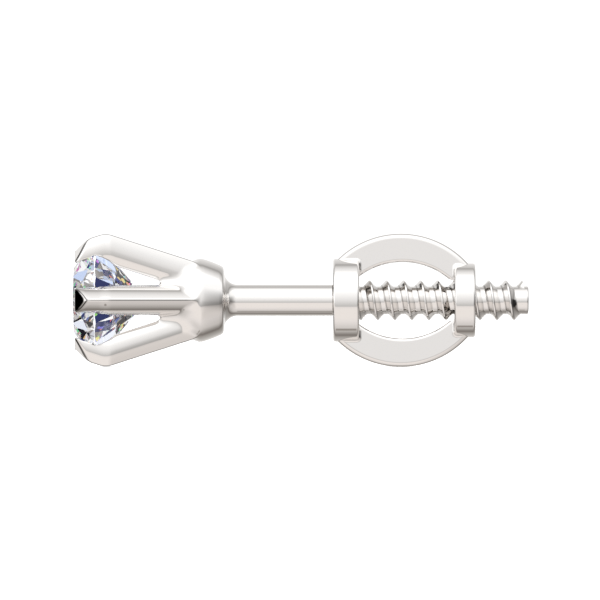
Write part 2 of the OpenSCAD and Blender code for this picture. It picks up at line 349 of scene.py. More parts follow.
# How steeply the cup widens (or narrows, below nought) at places along it in millimetres
CUP = ((3.25, 0), (3.45, 0.27), (3.7, 0.34), (3.87, 0.36), (3.97, 0.25), (4.05, 0), (4.11, -0.2),
       (4.22, -0.31), (4.35, -0.36), (4.51, -0.4), (4.67, -0.44), (4.8, -0.47))
CUP_PLACE, _, CUP_RISE = climb(CUP, 500)

# Rows of the setting's grid in stretches, as how far each goes from the table and in how many rows:
# along the windows, and down the cup from its rim. Twelve more rows follow each window's round end.
WINDOW_ROWS = ((0.075 * MM, 3), (0.43 * MM, 17), (0.46 * MM, 3), (0.84 * MM, 11), (1.24 * MM, 12),
               (2.3 * MM, 8), (2.6 * MM, 5))
CUP_ROWS = ((3.3 * MM, 18), (4.2 * MM, 36), (4.7 * MM, 10))
# Columns, as shares of the way from the ridge's middle to its edge, and on over the flank
RIDGE_COLUMNS = np.array([0, 0.3, 0.55, 0.7, 0.8, 0.88, 0.94, 1])
FLANK_COLUMNS = np.array([0.04, 0.09, 0.15, 0.22, 0.3, 0.38, 0.46, 0.53, 0.59, 0.64, 0.69, 0.74, 0.79, 0.85,
                          0.91, 0.96, 1])
# Columns of the post, which are also the steps of one turn of its thread
POST_SIDES = 48


def half_width(depth):
    """Half the width of a prong at a depth under its ridge."""
    return np.interp(depth, FLANK_DEPTH, FLANK_HALF)


def flank_depth(half):
    """Depth under the ridge at half a width of a prong."""
    return np.interp(half, FLANK_HALF, FLANK_DEPTH)


class Prong:
    """The outline of the six prongs as functions of the place along the axis."""

    def __init__(self, sizes, cup, stone):
        self.z, self.cup, self.stone = sizes, cup, stone
        self.fall = tan(sizes.slope)
        self.tip_r = sizes.peak_r - (sizes.peak - sizes.tip_top) * self.fall

    def crest(self, along):
        """Ridge to axis, before its rounding takes a hair's breadth away: falls evenly on both sides of
        the peak, which turns on a parabola's arc."""
        z = self.z
        off = soften(np.abs(along - z.peak), z.peak_round * sin(z.slope))
        return z.peak_r + z.ridge_lift - off * self.fall

    def flank(self, along, turn):
        """Distance from the axis of the flank, along a ray at an angle from the ridge: found by
        Newton's steps on the half width at which the ray meets the flank."""
        crest = self.crest(along)
        slant = np.tan(np.abs(turn))
        half = slant * crest * 0.7
        for _ in range(8):
            miss = half - slant * (crest - flank_depth(half))
            half = half - miss / (1 + slant * np.interp(half, FLANK_HALF, FLANK_SLOPE))
        return (crest - flank_depth(half)) / np.cos(turn)

    def tip_plane(self, along, turn):
        """Distance from the axis of the plane that cuts the tip at a slant."""
        return (self.tip_r + (along - self.z.tip_top) * tan(self.z.tip_angle)) / np.cos(turn)

    def turn_at(self, along, half):
        """Angle from the ridge to the flank at half a width."""
        return np.arctan2(half, self.crest(along) - flank_depth(half))

    def ridge_turn(self, along):
        """Angle from the ridge to the edge of the slanted tip, or of the rounded ridge past the tip."""
        z = self.z
        depth = np.maximum(z.tip_top - along, 0) * (tan(z.tip_angle) - self.fall)
        half = np.sqrt(half_width(depth) ** 2 + z.ridge_round ** 2)
        return np.arctan2(half, self.crest(along) - depth)

    def closing(self, along):
        """How far a window has closed, from 0 to 1: its end is round."""
        span = self.cup.window_round
        q = np.clip((along - (self.cup.rim - span)) / span, 0, 1)
        return 1 - np.sqrt(1 - q * q)

    def outside(self, along, turn):
        """Distance from the axis of the outer surface: flank, cut by the tip's plane, or the cup where
        that stands further out. In the cup the ridge grows rounder and sinks, and the valleys soften."""
        z, cup = self.z, self.cup
        rounder = cup.merge_round * ease((along - cup.merge) / cup.merge_l) ** 2
        band = (z.ridge_round + rounder) / self.crest(along)
        flank = self.flank(along, soften(np.abs(turn), band))
        metal = smooth_min(flank, self.tip_plane(along, turn), z.tip_blend)
        nose = np.clip((z.tip_end + z.nose_l - along) / z.nose_l, 0, 1)
        metal = metal - z.nose_drop * (1 - np.sqrt(1 - nose * nose))
        sink = cup.sink * ease((along - cup.sink_at) / cup.change_l)
        valley = ease((along - cup.valley_at) / cup.change_l) * ease(np.abs(turn) / cup.valley_turn)
        return smooth_max(metal - sink, self.cup_outline(along), cup.corner + cup.valley_round * valley)

    def tone(self, along, turn):
        """How much painted shade the finish gets: a little, in a grey line along the ridge, and more in
        the narrow line round the slanted tip, where the flank meets the tip's plane."""
        z = self.z
        # Painted shade: a grey line along the ridge, and a darker one along the crease round the slanted tip
        ridge = soft_line(turn * self.crest(along), z.ridge_shade_line, 1.5)
        fade_in = ease((along - z.tip_top) / (0.03 * MM))
        fade_out = ease((self.cup.merge + 0.2 * MM - along) / (0.3 * MM))
        line = soft_line(self.flank(along, turn) - self.tip_plane(along, turn), z.tip_shade_line, 1.3)
        return np.maximum(z.ridge_shade_grey * ridge * fade_in * fade_out, z.tip_shade_grey * line)

    def cup_outline(self, along):
        """Radius of the cup: sinks away by a square before its rim, runs level, then swells and falls
        to the back edge."""
        cup = self.cup
        before = np.clip((cup.rim + cup.dip_end - along) / cup.dip_l, 0, None)
        return cup.waist_r - cup.dip * before ** 2 + np.interp(along, CUP_PLACE, CUP_RISE)

    def inside(self, along, turn):
        """Distance from the axis of the inner surface: the prong's flat back, or the room that the
        stone takes with its clearance."""
        z = self.z
        full = self.crest(along) - z.depth
        claw = self.crest(along) - z.claw_depth
        belt = self.stone.crown + self.stone.girdle
        back = claw + (full - claw) * ease((along - belt) / (z.seat_end - belt))
        return smooth_max(back / np.cos(turn), self.room(along) + 0 * turn, 0.02 * MM)

    def room(self, along):
        """Radius of the stone with its clearance: straight lines from the table to the culet."""
        stone, gap = self.stone, self.z.clearance
        half = stone.diameter / 2
        belt_at, belt_r, low_at, low_r = stone_breaks(stone)
        places = [-gap, belt_at - gap, stone.crown - gap, stone.crown + stone.girdle + gap, low_at + gap,
                  stone.depth + gap]
        radii = [stone.table / 2 + gap, belt_r + gap, half + gap, half + gap, low_r + gap, 0]
        return np.interp(along, places, radii)


def setting_shell(stone, prongs, cup, post):
    """The whole setting as one closed skin: outer grid, inner grid, the walls between them along each
    window, the claw ends, then the hollow, the cup's back, the shank, the thread and the plain end."""
    shape = Prong(prongs, cup, stone)
    shell = Shell()
    bend = np.sin(np.linspace(0, pi / 2, 13)[1:])
    open_rows = spaced(prongs.tip_end, *WINDOW_ROWS)
    open_rows = np.concatenate([open_rows, cup.rim - cup.window_round * (1 - bend)])
    rows = np.concatenate([open_rows, spaced(cup.rim, *CUP_ROWS)[1:]])
    last = len(open_rows) - 1
    pitch = 2 * pi / prongs.count
    half = pitch / 2
    lip = 0.035 * MM

    closed = shape.closing(rows)[:, None]
    closed[last:] = 1
    belt = stone.crown + stone.girdle
    depth = np.interp(rows, [belt, prongs.seat_end], [prongs.claw_depth, prongs.depth])[:, None]
    column = rows[:, None]
    wide = half_width(depth - lip)
    corner = shape.turn_at(column, half_width(depth))
    edge = shape.turn_at(column, wide)
    inner_edge = np.arctan2(half_width(depth) - lip, shape.crest(column) - depth)
    ridge = np.minimum(shape.ridge_turn(rows)[:, None], edge * 0.8)
    ridge_half = np.tan(ridge) * shape.flank(column, ridge) * np.cos(ridge)
    flank = shape.turn_at(column, ridge_half + (wide - ridge_half) * FLANK_COLUMNS)
    flank = flank + (half - edge) * closed * FLANK_COLUMNS ** 2
    corner, edge, inner_edge = (a + (half - a) * closed for a in (corner, edge, inner_edge))

    turns = np.concatenate([ridge * RIDGE_COLUMNS, flank], 1)
    turns = np.concatenate([-turns[:, :0:-1], turns], 1)
    inner_turns = turns / edge * inner_edge
    radius = shape.outside(column, turns)
    hollow = shape.inside(column, inner_turns)
    # Painted shade for the prongs' grey lines
    tone = shape.tone(column, turns)

    opened = slice(0, last + 1)
    aims = np.arange(prongs.count) * pitch
    strips = [shell.around(column, radius, turns + aim, tone) for aim in aims]
    backs = [shell.around(column[opened], hollow[opened], inner_turns[opened] + aim) for aim in aims]
    for k in range(prongs.count):
        after = (k + 1) % prongs.count
        strips[after][last:, 0] = strips[k][last:, -1]
        backs[after][last, 0] = backs[k][last, -1]
    walls = []
    v = np.array([[0.25, 0.5, 0.75]])
    for k, aim in enumerate(aims):
        for side, sign in ((-1, 1), (0, -1)):
            out, back = radius[opened, side, None], hollow[opened, side, None]
            r = (1 - v) ** 2 * out + 2 * v * (1 - v) * back + v * v * back
            t = (1 - v) ** 2 * edge[opened] + 2 * v * (1 - v) * corner[opened] + v * v * inner_edge[opened]
            grid = shell.around(column[opened], r, sign * t + aim)
            walls.append(np.concatenate([strips[k][opened, side, None], grid, backs[k][:, side, None]], 1))
    for k in range(prongs.count):
        walls[(2 * k + 3) % (2 * prongs.count)][last] = walls[2 * k][last]
    for k in range(prongs.count):
        shell.quads(strips[k])
        shell.quads(backs[k], flip=True)
        shell.quads(np.stack([strips[k][0], backs[k][0]], 1), flip=True)
        for wall, flip in ((walls[2 * k], False), (walls[2 * k + 1], True)):
            shell.quads(wall, flip=flip)
            start, near, far = wall[0, 0], wall[0, 1:-1], wall[0, 2:]
            order = (start + 0 * near, near, far) if flip else (start + 0 * near, far, near)
            shell.faces.append(np.stack(order, -1))

    def all_round(grids, row):
        return np.concatenate([grid[row, :-1] for grid in grids])

    add_hollow(shell, cup, all_round([inner_turns + aim for aim in aims], last), all_round(backs, last),
               all_round([hollow] * prongs.count, last))
    fine_turn = all_round([turns + aim for aim in aims], -1)
    back_ring, foot_at, foot_r = add_back(shell, cup, post, fine_turn, all_round(strips, -1))
    add_post(shell, post, back_ring, fine_turn, foot_at, foot_r)
    return shell


def add_hollow(shell, cup, turn, ring, ring_r):
    """The hollow under the stone, from the inner grid's last row to its floor's middle: its depth goes
    by a sine, and its radius falls evenly by a quarter and by a circle's arc as well."""
    level = np.linspace(0, 1, 7)[1:, None]
    radius = ring_r * (1 - 0.25 * level) - cup.hollow_curve * (1 - np.sqrt(1 - level ** 2))
    well = shell.around(cup.rim + cup.hollow_depth * np.sin(level * pi / 2), radius, turn)
    shell.tube(np.concatenate([ring[None], well]), flip=True)
    shell.fan(shell.around(cup.rim + cup.hollow_depth, 0.0, 0.0), well[-1], flip=True)


def add_back(shell, cup, post, turn, ring):
    """The cup's back edge, an arc with the prongs' own columns. Returns its last ring, and the places
    and radii of the arc between the flat back face and the shank."""
    bend = np.linspace(cup.edge_turn, 0, 9)
    middle = cup.back - cup.edge_step - cup.edge_round
    grid = shell.around((middle + cup.edge_round * np.cos(bend))[:, None],
                        (cup.edge_r + cup.edge_round * np.sin(bend))[:, None], turn[None])
    shell.tube(np.concatenate([ring[None], grid]))
    sweep = np.linspace(0, pi / 2, 14)
    foot_at = cup.back + post.fillet * (1 - np.cos(sweep))
    return grid[-1], foot_at, post.radius + post.fillet * (1 - np.sin(sweep))


def add_post(shell, post, back_ring, back_turn, foot_at, foot_r):
    """Shank, thread and plain end on one even set of columns. Each row of the thread is one column's
    step on along its helix, and the ridge fades in and out at its ends."""
    turn = np.arange(POST_SIDES) * 2 * pi / POST_SIDES
    step = post.pitch / POST_SIDES
    guard = 0.03 * MM
    crest_at = post.crest_top + post.pitch / 4
    first = crest_at + np.ceil((post.thread_start + guard - crest_at) / step) * step
    tail = POST_HIGH.x - TABLE_X
    count = int((tail - post.thread_stop - first) / step)
    thread_at = first + np.arange(count + 1) * step
    phase = ((thread_at[:, None] - crest_at) / post.pitch + turn[None] / (2 * pi)) % 1
    crest_place = thread_at[:, None] - beside_crest(phase, post)
    fade = np.minimum((crest_place - post.thread_start) / post.run_in,
                      (tail - post.ridge_stop - crest_place) / post.run_out)
    fade = ease(np.minimum(fade, (thread_at[-1] - thread_at)[:, None] / post.last_fall))
    thread_r = post.root_r + (post.crest_r - post.root_r) * fade * thread_ridge(phase, post)
    # The thread's grey lines are painted shade in the finish
    thread = shell.around(thread_at[:, None], thread_r, turn[None], fade * thread_shade_lines(phase, post))
    shank_at = spaced(foot_at[-1], (post.thread_start - guard, 4), (post.thread_start, 2))[1:]
    lead_r = np.concatenate([foot_r, np.full(len(shank_at), post.radius)])
    lead = shell.around(np.concatenate([foot_at, shank_at])[:, None], lead_r[:, None], turn[None])
    c = post.chamfer
    end_at = np.array([thread_at[-1] + 0.02 * MM, tail - c, tail - 0.3 * c, tail])
    end_r = np.array([post.end_r, post.end_r, post.end_r - 0.35 * c, post.end_r - c])
    end = shell.around(end_at[:, None], end_r[:, None], turn[None])
    shell.tube(np.concatenate([lead, thread[:1]]))
    shell.slants(np.concatenate([thread, thread[:, :1]], 1))
    shell.tube(np.concatenate([thread[-1:], end]))
    shell.fan(shell.around(tail, 0.0, 0.0), end[-1], flip=True)
    shell.zip(lead[0], back_ring, back_turn)


def beside_crest(phase, post):
    """Place from the middle of the nearest crest, along the axis."""
    return ((phase + 0.5) % 1 - 0.5) * post.pitch


def thread_ridge(phase, post):
    """Height of the ridge, from 0 in the root to 1 on its level crest, with slightly hollow flanks."""
    off = 2 * np.minimum(phase, 1 - phase) / post.ridge_share
    height = np.clip((1 - off) / (1 - post.crest_land), 0, None)
    return smooth_min(height ** 1.3, 1.0, 0.04)


# Grey lines of painted shade on the thread, in its roots and crease, as their places beside the crest,
# their half widths and how grey they are: at the ridge's left foot, beside its crest and at its right foot
THREAD_SHADE_LINES = ((-0.168 * MM, 0.02 * MM, 0.5), (0.04 * MM, 0.018 * MM, 0.45), (0.17 * MM, 0.03 * MM, 0.16))


def thread_shade_lines(phase, post):
    """How much painted shade the thread gets: the sum of its soft grey lines."""
    place = beside_crest(phase, post)
    return sum(depth * soft_line(place - middle, half, 1.3) for middle, half, depth in THREAD_SHADE_LINES)


# The stone

# Steps of the round girdle in each sixteenth
GIRDLE_STEPS = 4


def stone_breaks(stone):
    """Where the facets meet between the table, the girdle and the culet: place and radius of the
    corners on the crown, then on the pavilion."""
    half = stone.diameter / 2
    corner = 1 / cos(pi / 8)
    belt_r = (stone.table / 2 + (half - stone.table / 2) * stone.crown_break) * corner
    low_at = stone.depth - (stone.depth - stone.crown - stone.girdle) * stone.lower_break
    return stone.crown * stone.crown_break, belt_r, low_at, half * stone.lower_break * corner


def stone_facets(sizes):
    """A round brilliant as flat facets: table, stars, kites and halves above, mains and halves below.
    The facets at the girdle are carried on to the round girdle, so its edge waves a little."""
    half = sizes.diameter / 2
    belt_at, belt_r, low_at, low_r = stone_breaks(sizes)

    def ring(radius, along, count, shift=0.0):
        turn = (np.arange(count) + shift) * 2 * pi / count
        return np.stack([0 * turn + along, -radius * np.cos(turn), radius * np.sin(turn)], -1)

    table = ring(sizes.table / 2, 0, 8)
    belt = ring(belt_r, belt_at, 8, 0.5)
    upper = ring(half, sizes.crown, 16)
    lower = ring(half, sizes.crown + sizes.girdle, 16)
    under = ring(low_r, low_at, 8, 0.5)
    culet = np.array([sizes.depth, 0, 0])
    steps = GIRDLE_STEPS

    def rim(a, b, c, first):
        """Points where the plane through a, b and c cuts the girdle's cylinder, from a sixteenth's
        start to its end."""
        normal = np.cross(b - a, c - a)
        turn = (first + np.arange(steps + 1) / steps) * 2 * pi / 16
        side, up = -half * np.cos(turn), half * np.sin(turn)
        along = a[0] - (normal[1] * (side - a[1]) + normal[2] * (up - a[2])) / normal[0]
        return np.stack([along, side, up], -1)

    facets = [table[::-1]]
    top_rim, low_rim = [], []
    for k in range(8):
        after = (k + 1) % 8
        facets.append(np.array([table[k], table[after], belt[k]]))
        facets.append(np.array([table[k], belt[k], upper[2 * k], belt[(k + 7) % 8]]))
        for first in (2 * k, 2 * k + 1):
            second = (first + 1) % 16
            top_rim.append(rim(upper[first], upper[second], belt[k], first))
            facets.append(np.concatenate([[belt[k]], top_rim[-1][::-1]]))
            low_rim.append(rim(lower[first], lower[second], under[k], first))
            facets.append(np.concatenate([[under[k]], low_rim[-1]]))
        facets.append(np.array([lower[2 * k], under[k], culet, under[(k + 7) % 8]]))
    for top, low in zip(top_rim, low_rim):
        for i in range(steps):
            facets.append(np.array([top[i], top[i + 1], low[i + 1], low[i]]))
    return facets


def stone_object(sizes, name, material, girdle_material):
    """The stone from its facets, with shared corners and every facet flat and facing outwards. The
    girdle's faces come last and have a finish of their own."""
    facets = stone_facets(sizes)
    points = np.concatenate(facets)
    middle = np.array([sizes.crown, 0, 0])
    grain = 1e-9
    keys, numbers = np.unique(np.round(points / grain).astype(np.int64), axis=0, return_inverse=True)
    faces, start = [], 0
    for facet in facets:
        loop = list(numbers[start:start + len(facet)].reshape(-1))
        start += len(facet)
        normal = np.cross(facet[1] - facet[0], facet[2] - facet[1])
        if normal @ (facet.mean(0) - middle) < 0:
            loop.reverse()
        faces.append(loop)
    mesh = bpy.data.meshes.new(name)
    mesh.from_pydata(keys * grain + (TABLE_X, AXIS_Y, AXIS_Z), [], faces)
    mesh.update()
    piece = bpy.data.objects.new(name, mesh)
    bpy.context.scene.collection.objects.link(piece)
    mesh.materials.append(material)
    mesh.materials.append(girdle_material)
    girdle = np.arange(len(faces)) >= len(faces) - 16 * GIRDLE_STEPS
    mesh.polygons.foreach_set("material_index", girdle.astype(np.int32))
    return piece


# The nut

COLLAR_SIDES = 128


def add_collar(shell, front, thick, radius, nut):
    """A collar: a closed profile with rounded outer edges and a bore, turned round the axis. Its front
    half goes from the bore over the face to the rim, and its back half is the same backwards."""
    arc = np.linspace(0, pi / 2, 7)
    e = nut.edge
    small, guard = 0.02 * MM, 0.01 * MM
    inner = nut.bore_r + small
    along = np.concatenate([[small + guard, small, 0, 0, 0], e - e * np.cos(arc), [e + guard]])
    out = np.concatenate([[nut.bore_r, nut.bore_r, inner, inner + guard, radius - e - guard],
                          radius - e + e * np.sin(arc), [radius]])
    along = front + np.concatenate([along, thick - along[::-1]])
    out = np.concatenate([out, out[::-1]])
    turn = np.arange(COLLAR_SIDES) * 2 * pi / COLLAR_SIDES
    grid = shell.around(along[:, None], out[:, None], turn[None])
    shell.tube(np.concatenate([grid, grid[:1]]))


def nut_shell(nut):
    """The nut: two turned collars and two carried wings."""
    shell = Shell()
    front = NUT_LOW.x - TABLE_X
    whole = NUT_HIGH.x - NUT_LOW.x
    add_collar(shell, front, nut.front_t, nut.front_r, nut)
    add_collar(shell, front + whole - nut.back_t, nut.back_t, nut.back_r, nut)
    for sign in (1, -1):
        wing_bar(shell, front, sign, nut)
        for side in (1, -1):
            wing_fillet(shell, front, nut.front_t, nut.front_r, 1, nut.front_reach, side, sign, nut)
            wing_fillet(shell, front, whole - nut.back_t, nut.back_r, -1, nut.back_reach, side, sign, nut)
    return shell


def wing_fillet(shell, front, face, radius, way, reach, side, sign, nut):
    """A fillet between a wing's flat face and a collar: the surface that a ball leaves as it rolls in
    the corner, over the collar's top, round its edge and down its inner face. It thins out at both
    ends, and its back lies hidden in the metal."""
    e = nut.edge
    thin_l, thin_part, thinnest = 0.22 * MM, 0.5, 0.03
    top = np.linspace(reach, e, 16)
    bend = np.linspace(0, pi / 2, 7)[1:]
    down = np.linspace(0, 1, 12)[1:]
    size = np.concatenate([ease((reach - top) / thin_l), 0 * bend + 1, ease((1 - down) / thin_part)])
    f = nut.fillet * np.maximum(size, thinnest)
    turn = np.concatenate([0 * top, bend, 0 * down + pi / 2])
    back = np.concatenate([-top, 0 * bend - e, 0 * down - e])
    centre_y = nut.wing_t / 2 + f
    rho = radius - e + (e + f) * np.cos(turn)
    centre_z = np.sqrt(rho ** 2 - centre_y ** 2)
    centre_x = back + (e + f) * np.sin(turn)
    inner_at = face + way * f[-1] - nut.inner_mid
    floor_z = nut.gap - nut.inner_r + sqrt(nut.inner_r ** 2 - inner_at ** 2) + nut.inner_edge / 2
    last = len(top) + len(bend) - 1
    centre_z[last + 1:] = centre_z[last] + (floor_z - centre_z[last]) * down
    out = np.stack([np.sin(turn), np.cos(turn) * centre_y / rho, np.cos(turn) * centre_z / rho], -1)[:, None]
    centre = np.stack([centre_x, centre_y, centre_z], -1)[:, None]
    ball = f[:, None, None]
    plane = np.array([0.0, -1.0, 0.0])
    between = (-out @ plane)[..., None]
    corner = np.arccos(between)
    t = np.linspace(0, 1, 8)[None, :, None]
    arc = centre + ball * (np.sin((1 - t) * corner) * plane - np.sin(t * corner) * out) / np.sin(corner)
    root = centre + 1.3 * ball * (plane - out) / (1 + between)
    ring = np.concatenate([arc, root], 1)
    where = np.stack([front + face + way * ring[..., 0], side * ring[..., 1], sign * ring[..., 2]])
    grid = shell.add(*where)
    flip = way * side * sign < 0
    shell.tube(grid, flip)
    for row in (0, -1):
        shell.fan(shell.add(*where[:, row].mean(1)), grid[row], flip=flip == (row == 0))


def wing_bar(shell, front, sign, nut):
    """A bar with rounded edges carried along the crescent between the wing's two arcs. At each angle
    about the arcs' common middle the section is a rounded rectangle from the inner arc to the outer. Its
    ends stop inside the collars, short of their flat faces and clear of the bore."""
    peak = (NUT_HIGH.z - NUT_LOW.z) / 2
    outer_c = np.array([nut.outer_mid, peak - nut.outer_r])
    inner_c = np.array([nut.inner_mid, nut.gap - nut.inner_r])
    sweep = np.linspace(pi / 2 + nut.wing_turn, pi / 2 - nut.wing_turn, 97)
    hub = (outer_c + inner_c) / 2
    way = np.stack([np.cos(sweep), np.sin(sweep)], -1)
    half = nut.wing_t / 2
    bend = np.linspace(0, pi / 2, 7)
    guard = 0.012 * MM

    def reach(centre, radius):
        """Distance from the hub to a circle, each way."""
        off = hub - centre
        b = way @ off
        return (-b + np.sqrt(b * b - off @ off + radius ** 2))[:, None]

    def corner(at, r, away, aside):
        """One rounded edge, from the flat face to the rim at a distance from the hub."""
        out = at + away * np.concatenate([[-r - guard], r * np.sin(bend) - r, [0]])
        across = aside * np.concatenate([[half], half - r + r * np.cos(bend), [half - r - guard]])
        return np.stack(np.broadcast_arrays(out, across))

    far, near = reach(outer_c, nut.outer_r), reach(inner_c, nut.inner_r)
    out, side = np.concatenate([
        corner(far, nut.outer_edge, 1, -1), corner(far, nut.outer_edge, 1, 1)[..., ::-1],
        corner(near, nut.inner_edge, -1, 1), corner(near, nut.inner_edge, -1, -1)[..., ::-1],
    ], -1)
    inset = 0.02 * MM
    whole = NUT_HIGH.x - NUT_LOW.x
    along = front + np.clip(hub[0] + out * way[:, :1], inset, whole - inset)
    clear = nut.bore_r + 0.08 * MM
    up = sign * np.maximum(hub[1] + out * way[:, 1:], np.sqrt(np.maximum(clear ** 2 - side ** 2, 0)))
    grid = shell.add(along, side, up)
    shell.tube(grid, flip=sign < 0)
    for row, flip in ((0, sign < 0), (-1, sign > 0)):
        shell.fan(shell.add(along[row].mean(), side[row].mean(), up[row].mean()), grid[row], flip=flip)


# Finishes

def put(tree, kind, inputs, **settings):
    """Adds a shader node with its settings, then fills its inputs: a socket is linked, and a plain value
    is written in."""
    node = tree.nodes.new("ShaderNode" + kind)
    for name, value in settings.items():
        setattr(node, name, value)
    for key, value in inputs.items():
        if isinstance(value, bpy.types.NodeSocket):
            tree.links.new(value, node.inputs[key])
        else:
            node.inputs[key].default_value = value
    return node


def new_tree(owner):
    """The empty node tree of a new material or world."""
    owner.use_nodes = True
    owner.node_tree.nodes.clear()
    return owner.node_tree


def finish(name, paint, *looks):
    """A new material, whose surface is what paint makes for these looks in its node tree."""
    material = bpy.data.materials.new(name)
    tree = new_tree(material)
    put(tree, "OutputMaterial", {"Surface": paint(tree, *looks)})
    return material


def reckon(tree, kind, *values):
    """One step of arithmetic on sockets and plain values."""
    return put(tree, "Math", dict(enumerate(values)), operation=kind).outputs[0]


def opaque(tint, bright=1.0):
    """A colour made brighter or darker, with full cover."""
    return (*[c * bright for c in tint], 1)


def noise(tree, scale, detail=2):
    """A cloud of noise from 0 to 1 on the object's own coordinates."""
    place = put(tree, "TexCoord", {}).outputs["Object"]
    return put(tree, "TexNoise", {"Vector": place, "Scale": scale, "Detail": detail}).outputs["Fac"]


def shaded(tree, part, low, high):
    """A colour between two, by a part from 0 to 1."""
    return put(tree, "Mix", {"Factor": part, "A": low, "B": high}, data_type="RGBA").outputs["Result"]


def ramp(tree, value, stops, kind):
    """A colour by a value from 0 to 1, from stops given as their places and colours."""
    node = put(tree, "ValToRGB", {"Fac": value})
    node.color_ramp.interpolation = kind
    elements = node.color_ramp.elements
    while len(elements) < len(stops):
        elements.new(0.5)
    for element, (position, tint) in zip(elements, stops):
        element.position = position
        element.color = opaque(tint)
    return node.outputs["Color"]


def polished_gold(tree, tint, roughness):
    """Polished white gold: a metal whose roughness and surface vary by a hair's breadth, as hand
    polishing leaves it, and which is darkened towards near black by painted shade, where the mesh's
    painted shade attribute says so."""
    cloud = noise(tree, scale=700, detail=3)
    rough = put(tree, "MapRange", {"Value": cloud, "To Min": roughness * 0.6, "To Max": roughness * 1.4})
    bump = put(tree, "Bump", {"Height": noise(tree, scale=9000), "Strength": 0.02, "Distance": 0.002 * MM})
    # Painted shade: the attribute mixes the metal's colour towards near black
    tone = put(tree, "Attribute", {}, attribute_name="tone").outputs["Fac"]
    shade = shaded(tree, cloud, opaque(tint, 0.985), opaque(tint))
    return put(tree, "BsdfPrincipled", {
        "Base Color": shaded(tree, tone, shade, opaque(tint, 0.02)), "Metallic": 1,
        "Roughness": rough.outputs["Result"], "Normal": bump.outputs["Normal"],
    }).outputs["BSDF"]


# What is seen through the stone, and what the stone itself glows with as painted glints: cells of
# light and dark cards, with a few coloured glints, as the share of the cells and their colour
FIRE = (
    (0.30, (1.0, 1.0, 1.0)), (0.10, (0.62, 0.72, 0.95)), (0.14, (0.30, 0.28, 0.27)),
    (0.15, (0.045, 0.06, 0.19)), (0.12, (0.015, 0.015, 0.02)), (0.09, (0.85, 0.88, 0.97)),
    (0.05, (0.12, 0.16, 0.42)), (0.05, (0.62, 0.56, 0.50)),
)
FIRE_SEED = 18.0
# Scale of the cells over the directions round the stone, and over the places on it, where they are painted
# glints
FIRE_WIDE = 1.6
FIRE_FINE = 1100.0
# Turns that light takes in the stone before its surface glows with painted glints, and the share with
# coloured sparks
FIRE_TURNS = 3
SPARKS = 0.12


def glints(tree, place, scale, sparkling):
    """Cells in the colours of FIRE, over a place in space or a direction, with small coloured sparks
    in a share of it."""

    def cells(size):
        """Three random numbers from 0 to 1 for each cell, as a colour's parts."""
        inputs = {"Vector": place, "W": FIRE_SEED, "Scale": size}
        random = put(tree, "TexVoronoi", inputs, voronoi_dimensions="4D").outputs["Color"]
        return put(tree, "SeparateColor", {"Color": random}).outputs

    starts = np.cumsum([0] + [part for part, _ in FIRE])
    stops = [(float(start), tint) for start, (_, tint) in zip(starts, FIRE)]
    fire = ramp(tree, cells(scale)["Red"], stops, "CONSTANT")
    spark = cells(scale * 6)
    chosen = reckon(tree, "GREATER_THAN", spark["Red"], 1 - sparkling)
    hue = put(tree, "CombineColor", {0: spark["Green"], 1: 0.7, 2: 0.9}, mode="HSV").outputs["Color"]
    return shaded(tree, chosen, fire, hue)


def cut_stone(tree, ior):
    """A clear stone: a refraction with a mirror reflection over it by Fresnel's law, where rays inside
    either leave or turn back whole. Its colour varies by a trace, as in a grown crystal. Where rays have
    turned many times, the stone's surface glows with painted glints."""
    body = shaded(tree, noise(tree, scale=900), (0.985, 0.99, 1.0, 1), (1, 1, 1, 1))
    ray = put(tree, "BsdfRefraction", {"Color": body, "Roughness": 0, "IOR": ior}).outputs[0]
    mirror = put(tree, "BsdfGlossy", {"Color": (1, 1, 1, 1), "Roughness": 0}).outputs[0]
    fresnel = put(tree, "Fresnel", {"IOR": ior}).outputs["Fac"]
    whole = reckon(tree, "GREATER_THAN", fresnel, 0.5)
    within = put(tree, "NewGeometry", {}).outputs["Backfacing"]
    shine = put(tree, "Mix", {"Factor": within, "A": fresnel, "B": whole}).outputs["Result"]
    clear = put(tree, "MixShader", {"Fac": shine, 1: ray, 2: mirror}).outputs[0]
    # Painted glints: after many turns the stone emits coloured cells instead of showing the studio
    turns = put(tree, "LightPath", {}).outputs["Ray Depth"]
    late = reckon(tree, "GREATER_THAN", turns, FIRE_TURNS + 0.5)
    place = put(tree, "TexCoord", {}).outputs["Object"]
    painted_glint = put(tree, "Emission", {"Color": glints(tree, place, FIRE_FINE, SPARKS)}).outputs[0]
    return put(tree, "MixShader", {"Fac": late, 1: clear, 2: painted_glint}).outputs[0]


def ground_girdle(tree):
    """The girdle's finely ground surface: pale and matt with a faint grain."""
    shade = shaded(tree, noise(tree, scale=8000), (0.80, 0.82, 0.85, 1), (0.95, 0.95, 0.96, 1))
    return put(tree, "BsdfDiffuse", {"Color": shade}).outputs["BSDF"]


def plain_floor(tree, tint):
    """Matt paper: a faint cloud in its colour."""
    shade = shaded(tree, noise(tree, scale=20), opaque(tint, 0.998), opaque(tint))
    return put(tree, "BsdfDiffuse", {"Color": shade}).outputs["BSDF"]


# The studio

